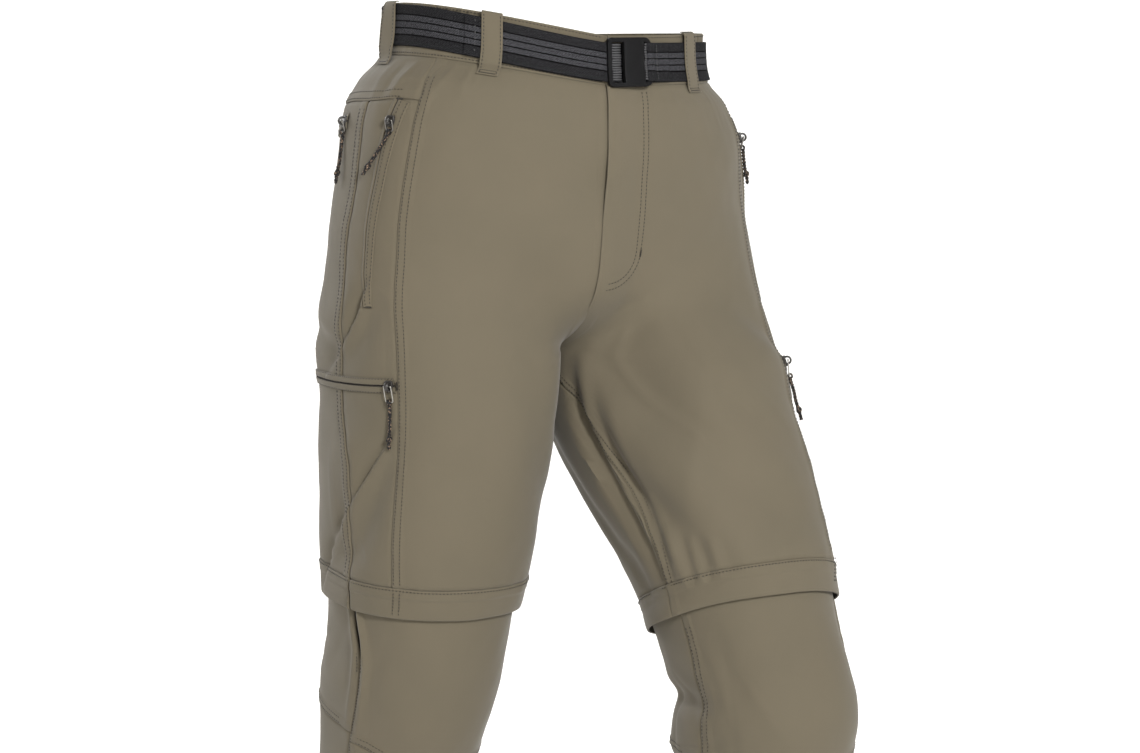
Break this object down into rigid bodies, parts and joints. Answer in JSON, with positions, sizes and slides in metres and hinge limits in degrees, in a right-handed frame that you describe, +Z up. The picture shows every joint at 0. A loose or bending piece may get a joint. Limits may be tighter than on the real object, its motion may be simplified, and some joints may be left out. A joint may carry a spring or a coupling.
{
  "type": "convertible zip-off trousers with webbing belt",
  "caption": "Worn convertible trousers whose lower legs zip off at a hem band, with zipped pockets on cord pulls, belt loops and a webbing belt with a plate buckle.",
  "frame": {"origin": "middle of the waist opening, level with the top edge of the waistband, where the wearer's waist holds the garment up", "axes": "+Z up, out of the waist opening; the front of the garment faces -Y; the wearer's left leg is on the +X side"},
  "size_m": [0.4753, 0.4894, 1.0644],
  "materials": {
    "ripstop_cloth": "matte woven nylon and cotton, khaki",
    "belt_webbing": "flat woven webbing, charcoal with grey stripes",
    "buckle_plastic": "moulded nylon, fine grain",
    "zip_tape": "woven tape with coil teeth",
    "slider_metal": "enamelled die-cast zinc",
    "dark_wire": "enamelled wire",
    "bare_wire": "nickel-plated wire",
    "pull_cord": "twisted cord, black and brown"
  },
  "bodies": {
    "trousers": {"waistband_right": "ripstop_cloth", "yoke_right": "ripstop_cloth", "front_right": "ripstop_cloth", "side_upper_right": "ripstop_cloth", "cargo_right": "ripstop_cloth", "back_right": "ripstop_cloth", "hem_band_front_right": "ripstop_cloth", "hem_band_back_right": "ripstop_cloth", "knee_front_right": "ripstop_cloth", "shin_front_right": "ripstop_cloth", "knee_back_right": "ripstop_cloth", "calf_back_right": "ripstop_cloth", "zip_off_right": "zip_tape", "leg_zip_right": "zip_tape", "waistband_left": "ripstop_cloth", "yoke_left": "ripstop_cloth", "front_left": "ripstop_cloth", "side_upper_left": "ripstop_cloth", "cargo_left": "ripstop_cloth", "back_left": "ripstop_cloth", "hem_band_front_left": "ripstop_cloth", "hem_band_back_left": "ripstop_cloth", "knee_front_left": "ripstop_cloth", "shin_front_left": "ripstop_cloth", "knee_back_left": "ripstop_cloth", "calf_back_left": "ripstop_cloth", "zip_off_left": "zip_tape", "leg_zip_left": "zip_tape", "loop_front_right": "ripstop_cloth", "loop_front_left": "ripstop_cloth", "loop_side_right": "ripstop_cloth", "loop_side_left": "ripstop_cloth", "loop_back": "ripstop_cloth", "belt_strap": "belt_webbing", "belt_tail": "belt_webbing", "belt_fold": "belt_webbing", "buckle": "buckle_plastic", "zip_hand_right": "zip_tape", "slider_hand_right": "slider_metal", "zip_hand_left": "zip_tape", "slider_hand_left": "slider_metal", "zip_back_right": "zip_tape", "slider_back_right": "slider_metal", "zip_cargo_right": "zip_tape", "slider_cargo_right": "slider_metal", "zip_cargo_left": "zip_tape", "slider_cargo_left": "slider_metal"},
    "pull_hand_right": {"ring_hand_right": "dark_wire", "cord_hand_right": "pull_cord"},
    "pull_hand_left": {"ring_hand_left": "dark_wire", "cord_hand_left": "pull_cord"},
    "pull_back_right": {"ring_back_right": "dark_wire", "cord_back_right": "pull_cord"},
    "pull_cargo_right": {"ring_cargo_right": "bare_wire", "cord_cargo_right": "pull_cord"},
    "pull_cargo_left": {"ring_cargo_left": "bare_wire", "cord_cargo_left": "pull_cord"}
  },
  "joints": [
    {"name": "pull_hand_right_swing", "type": "hinge", "parent": "trousers", "child": "pull_hand_right", "pos_m": [-0.18334, -0.04642, -0.09224], "axis": [-0.4486, 0.8937, 0], "range_deg": [0, 150]},
    {"name": "pull_hand_left_swing", "type": "hinge", "parent": "trousers", "child": "pull_hand_left", "pos_m": [0.18333, -0.04637, -0.10667], "axis": [-0.442, -0.897, 0], "range_deg": [0, 150]},
    {"name": "pull_back_right_swing", "type": "hinge", "parent": "trousers", "child": "pull_back_right", "pos_m": [-0.19129, 0.0288, -0.09227], "axis": [0.1744, 0.9847, 0], "range_deg": [0, 150]},
    {"name": "pull_cargo_right_swing", "type": "hinge", "parent": "trousers", "child": "pull_cargo_right", "pos_m": [-0.18758, -0.05071, -0.32452], "axis": [-0.5593, 0.8289, 0], "range_deg": [0, 150]},
    {"name": "pull_cargo_left_swing", "type": "hinge", "parent": "trousers", "child": "pull_cargo_left", "pos_m": [0.19404, -0.10647, -0.30908], "axis": [-0.5462, -0.8376, 0], "range_deg": [0, 150]}
  ]
}
